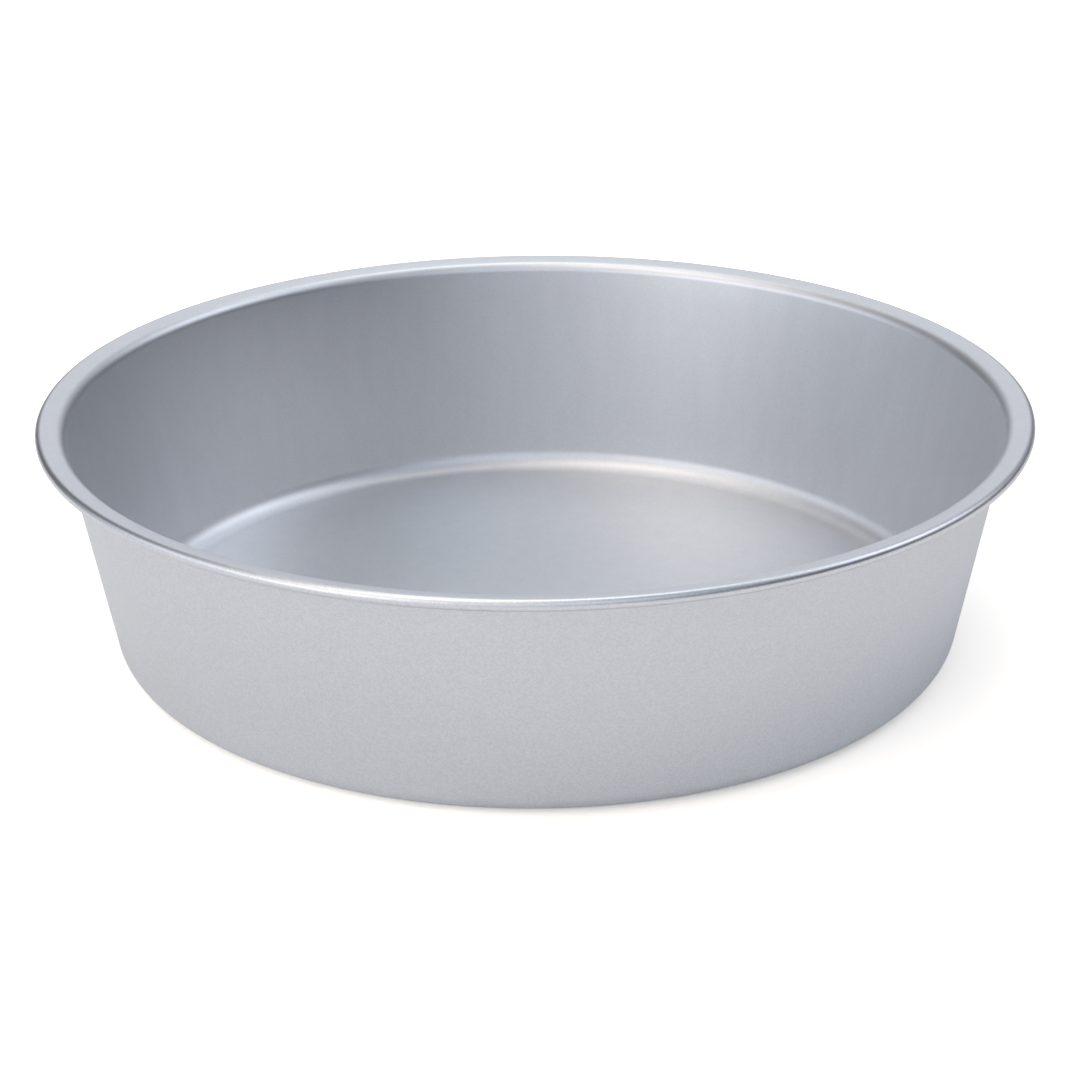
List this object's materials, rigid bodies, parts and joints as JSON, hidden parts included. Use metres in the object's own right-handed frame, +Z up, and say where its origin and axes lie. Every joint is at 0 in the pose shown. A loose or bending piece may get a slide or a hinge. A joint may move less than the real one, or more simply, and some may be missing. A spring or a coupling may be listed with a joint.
{
  "type": "round cake tin",
  "caption": "Round one-piece cake tin with a flat floor, a flared wall and a level rim rolled over a wire.",
  "frame": {"origin": "centre of the underside of the floor, on the surface that the tin stands on", "axes": "+Z up along the tin's axis, out of its mouth; +Y towards the place where the rim wire's ends meet"},
  "size_m": [0.244, 0.244, 0.0595],
  "materials": {
    "silver_coat": "satin",
    "wire_steel": "satin"
  },
  "bodies": {
    "root": {"tin_shell": "silver_coat", "rim_wire": "wire_steel"}
  },
  "joints": []
}
